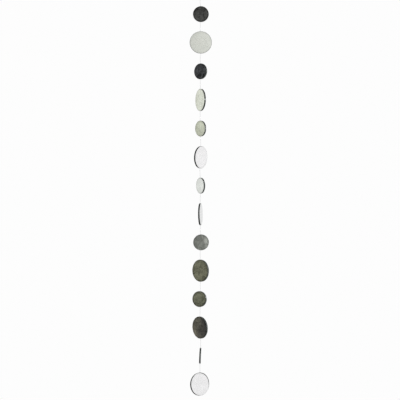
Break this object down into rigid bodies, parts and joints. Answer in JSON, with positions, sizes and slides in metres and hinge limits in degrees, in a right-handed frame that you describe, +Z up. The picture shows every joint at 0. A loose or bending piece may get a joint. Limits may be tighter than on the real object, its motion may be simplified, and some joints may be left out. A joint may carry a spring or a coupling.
{
  "type": "hanging mirror mobile",
  "caption": "Hanging mobile of round two-sided mirrors, small and large by turns, on one clear nylon line with a tied loop at the top.",
  "frame": {"origin": "the inside of the top of the hanging loop, where it bears on its hook", "axes": "+Z up along the line, with the whole mobile below the origin; -Y towards the viewer in front; +X to the viewer's right"},
  "size_m": [0.0702, 0.0719, 1.2794],
  "materials": {
    "mirror_glass": "silvered clear glass, polished face, satin ground edge with a faint green tint, grey paint on the silvered back",
    "adhesive": "matt dark adhesive sheet, seen only as a thin dark line between two mirrors",
    "clear_nylon": "smooth nylon monofilament, clear with a slight grey cast"
  },
  "bodies": {
    "root": {"mirror_01_front": "mirror_glass", "mirror_01_back": "mirror_glass", "mirror_02_front": "mirror_glass", "mirror_02_back": "mirror_glass", "mirror_03_front": "mirror_glass", "mirror_03_back": "mirror_glass", "mirror_04_front": "mirror_glass", "mirror_04_back": "mirror_glass", "mirror_05_front": "mirror_glass", "mirror_05_back": "mirror_glass", "mirror_06_front": "mirror_glass", "mirror_06_back": "mirror_glass", "mirror_07_front": "mirror_glass", "mirror_07_back": "mirror_glass", "mirror_08_front": "mirror_glass", "mirror_08_back": "mirror_glass", "mirror_09_front": "mirror_glass", "mirror_09_back": "mirror_glass", "mirror_10_front": "mirror_glass", "mirror_10_back": "mirror_glass", "mirror_11_front": "mirror_glass", "mirror_11_back": "mirror_glass", "mirror_12_front": "mirror_glass", "mirror_12_back": "mirror_glass", "mirror_13_front": "mirror_glass", "mirror_13_back": "mirror_glass", "mirror_14_front": "mirror_glass", "mirror_14_back": "mirror_glass", "adhesive_01": "adhesive", "adhesive_02": "adhesive", "adhesive_03": "adhesive", "adhesive_04": "adhesive", "adhesive_05": "adhesive", "adhesive_06": "adhesive", "adhesive_07": "adhesive", "adhesive_08": "adhesive", "adhesive_09": "adhesive", "adhesive_10": "adhesive", "adhesive_11": "adhesive", "adhesive_12": "adhesive", "adhesive_13": "adhesive", "adhesive_14": "adhesive", "nylon_line": "clear_nylon", "loop_knot": "clear_nylon"}
  },
  "joints": []
}
